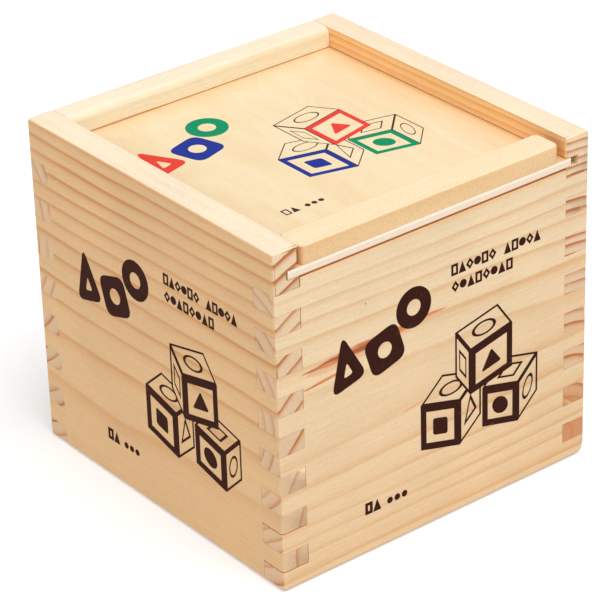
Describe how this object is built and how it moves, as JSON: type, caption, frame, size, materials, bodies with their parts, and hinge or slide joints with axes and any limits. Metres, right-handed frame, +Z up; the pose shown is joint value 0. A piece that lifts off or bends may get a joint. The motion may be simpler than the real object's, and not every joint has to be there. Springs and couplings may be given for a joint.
{
  "type": "boxed cube puzzle",
  "caption": "Square finger-jointed wooden box with a sliding plywood lid in a groove, packed full with small wooden puzzle cubes.",
  "frame": {"origin": "centre of the box's underside, on the surface it stands on", "axes": "+Z up; -Y is the front, where the lid slides out; +X is to the right seen from the front"},
  "size_m": [0.11, 0.11, 0.102],
  "materials": {
    "pine": "bare sanded pine with orange growth lines",
    "plywood": "bare pale basswood plywood",
    "strip_wood": "bare sanded beech with short fine flecks",
    "cube_wood": "bare sanded basswood",
    "ink_brown": "thin screen-printed ink",
    "ink_red": "thin screen-printed ink",
    "ink_blue": "thin screen-printed ink",
    "ink_green": "thin screen-printed ink"
  },
  "bodies": {
    "box": {"left_wall": "pine", "right_wall": "pine", "back_wall": "pine", "front_wall": "pine", "bottom_panel": "plywood", "cube_bottom_front_left": "cube_wood", "cube_bottom_front_mid": "cube_wood", "cube_bottom_front_right": "cube_wood", "cube_bottom_centre_left": "cube_wood", "cube_bottom_centre_mid": "cube_wood", "cube_bottom_centre_right": "cube_wood", "cube_bottom_back_left": "cube_wood", "cube_bottom_back_mid": "cube_wood", "cube_bottom_back_right": "cube_wood", "cube_middle_front_left": "cube_wood", "cube_middle_front_mid": "cube_wood", "cube_middle_front_right": "cube_wood", "cube_middle_centre_left": "cube_wood", "cube_middle_centre_mid": "cube_wood", "cube_middle_centre_right": "cube_wood", "cube_middle_back_left": "cube_wood", "cube_middle_back_mid": "cube_wood", "cube_middle_back_right": "cube_wood", "cube_top_front_left": "cube_wood", "cube_top_front_mid": "cube_wood", "cube_top_front_right": "cube_wood", "cube_top_centre_left": "cube_wood", "cube_top_centre_mid": "cube_wood", "cube_top_centre_right": "cube_wood", "cube_top_back_left": "cube_wood", "cube_top_back_mid": "cube_wood", "cube_top_back_right": "cube_wood"},
    "lid": {"lid_panel": "plywood", "lid_strip": "strip_wood"}
  },
  "joints": [
    {"name": "lid_slide", "type": "slide", "parent": "box", "child": "lid", "axis": [0, -1, 0], "range_m": [0, 0.11]}
  ]
}
